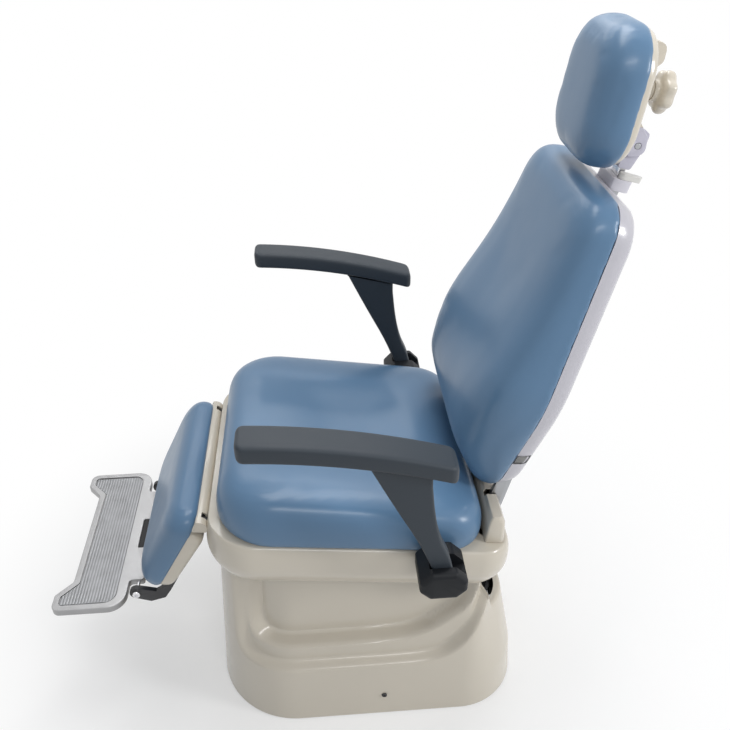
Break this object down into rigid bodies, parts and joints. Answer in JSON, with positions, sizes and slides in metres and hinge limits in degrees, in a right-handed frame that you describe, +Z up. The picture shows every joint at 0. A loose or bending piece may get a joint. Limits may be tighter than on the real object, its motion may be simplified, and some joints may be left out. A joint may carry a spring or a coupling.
{
  "type": "ear nose and throat examination chair",
  "caption": "Electric examination chair: padded seat on a lifting base, reclining back, adjustable headrest, fold-up arms and a leg-rest with footplate.",
  "frame": {"origin": "on the floor under the axis of the lift column", "axes": "+Z up, -X the way the sitter faces, +Y to the sitter's right"},
  "size_m": [1.1355, 0.7068, 1.3289],
  "materials": {
    "cream_moulding": "glossy moulded cover",
    "white_moulding": "glossy moulded shell",
    "lilac_plastic": "satin moulding",
    "blue_upholstery": "satin seamless covering",
    "slate_arm": "satin moulded foam skin",
    "dark_plastic": "satin moulding",
    "black_plastic": "satin",
    "black_rubber": "matt",
    "black_steel": "satin black paint",
    "grey_steel": "plain steel",
    "bright_steel": "bright plated",
    "cast_aluminium": "as cast, rubbed on top",
    "plywood": "plain plywood",
    "grey_plastic": "satin"
  },
  "bodies": {
    "base": {"base_plate": "black_steel", "base_cover": "cream_moulding", "cover_screw_left": "black_steel", "cover_screw_right": "black_steel", "guide_tower": "grey_steel", "lift_cylinder": "grey_steel", "pump_unit": "black_steel", "control_box": "grey_plastic", "power_inlet": "black_plastic", "bellows_tray": "black_steel", "lift_bellows": "black_rubber"},
    "seat": {"lift_column": "grey_steel", "lift_rod": "bright_steel", "seat_frame": "black_steel", "seat_skirt": "cream_moulding", "seat_underpan": "black_plastic", "seat_board": "plywood", "seat_cushion": "blue_upholstery", "hinge_cover": "cream_moulding", "back_bracket_left": "black_steel", "back_bracket_right": "black_steel", "back_actuator": "black_plastic", "legrest_bracket_left": "black_steel", "legrest_bracket_right": "black_steel", "arm_knuckle_left": "dark_plastic", "arm_knuckle_right": "dark_plastic", "arm_pin_left": "grey_steel", "arm_pin_right": "grey_steel"},
    "back_rod": {"back_actuator_rod": "bright_steel"},
    "link": {"link_rod": "grey_steel"},
    "backrest": {"back_cushion": "blue_upholstery", "back_shell": "white_moulding", "back_frame": "black_steel", "back_hub_left": "grey_steel", "back_hub_right": "grey_steel", "back_shaft": "grey_steel", "headrest_guide": "grey_steel", "headrest_collar": "lilac_plastic"},
    "lock_lever": {"lock_lever": "cream_moulding"},
    "headrest_slide": {"headrest_bar": "bright_steel", "headrest_bracket": "lilac_plastic"},
    "headrest": {"headrest_cushion": "blue_upholstery", "headrest_shell": "cream_moulding", "headrest_mount": "cream_moulding", "tilt_pin": "grey_steel"},
    "tilt_knob": {"tilt_knob": "cream_moulding"},
    "arm_left": {"arm_pad_left": "slate_arm", "arm_post_left": "slate_arm"},
    "arm_right": {"arm_pad_right": "slate_arm", "arm_post_right": "slate_arm"},
    "legrest": {"legrest_cushion": "blue_upholstery", "legrest_shell": "cream_moulding", "legrest_bar_left": "black_steel", "legrest_bar_right": "black_steel", "legrest_shaft": "grey_steel", "legrest_hinge_cover": "cream_moulding"},
    "footplate": {"footplate": "cast_aluminium", "footplate_bolt_left": "bright_steel", "footplate_bolt_right": "bright_steel"}
  },
  "joints": [
    {"name": "lift", "type": "slide", "parent": "base", "child": "seat", "axis": [0, 0, 1], "range_m": [0, 0.15], "deforming": ["lift_bellows"]},
    {"name": "recline", "type": "hinge", "parent": "seat", "child": "backrest", "pos_m": [0.232, 0, 0.45], "axis": [0, 1, 0], "range_deg": [0, 55]},
    {"name": "back_rod_slide", "type": "slide", "parent": "seat", "child": "back_rod", "axis": [-0.993, 0, 0.1184], "range_m": [0, 0.0476]},
    {"name": "link_slide", "type": "slide", "parent": "seat", "child": "link", "axis": [-0.993, 0, 0.1184], "range_m": [0, 0.0476]},
    {"name": "legrest_swing", "type": "hinge", "parent": "seat", "child": "legrest", "pos_m": [-0.317, 0, 0.5], "axis": [0, 1, 0], "range_deg": [0, 45]},
    {"name": "footplate_fold", "type": "hinge", "parent": "legrest", "child": "footplate", "pos_m": [-0.47, 0, 0.302], "axis": [0, 1, 0], "range_deg": [0, 80]},
    {"name": "arm_left_swing", "type": "hinge", "parent": "seat", "child": "arm_left", "pos_m": [0.117, -0.32, 0.507], "axis": [0, 1, 0], "range_deg": [0, 90]},
    {"name": "arm_right_swing", "type": "hinge", "parent": "seat", "child": "arm_right", "pos_m": [0.117, 0.32, 0.507], "axis": [0, 1, 0], "range_deg": [0, 90]},
    {"name": "headrest_height", "type": "slide", "parent": "backrest", "child": "headrest_slide", "axis": [0.279, 0, 0.9603], "range_m": [0, 0.1]},
    {"name": "headrest_tilt", "type": "hinge", "parent": "headrest_slide", "child": "headrest", "pos_m": [0.4536, 0, 1.13747], "axis": [0, 1, 0], "range_deg": [-12, 25]},
    {"name": "tilt_knob_turn", "type": "hinge", "parent": "headrest", "child": "tilt_knob", "pos_m": [0.46642, 0, 1.21846], "axis": [0.9877, 0, -0.1564], "range_deg": [0, 270]},
    {"name": "lock_lever_turn", "type": "hinge", "parent": "backrest", "child": "lock_lever", "pos_m": [0.25217, -0.0276, 0.44414], "axis": [-0.279, 0, -0.9603], "range_deg": [0, 60]}
  ],
  "couplings": [
    {"joint": "back_rod_slide", "follows": "recline", "m_per_rad": 0.04945},
    {"joint": "link_slide", "follows": "recline", "m_per_rad": 0.04945},
    {"joint": "legrest_swing", "follows": "recline", "ratio": 0.818}
  ]
}
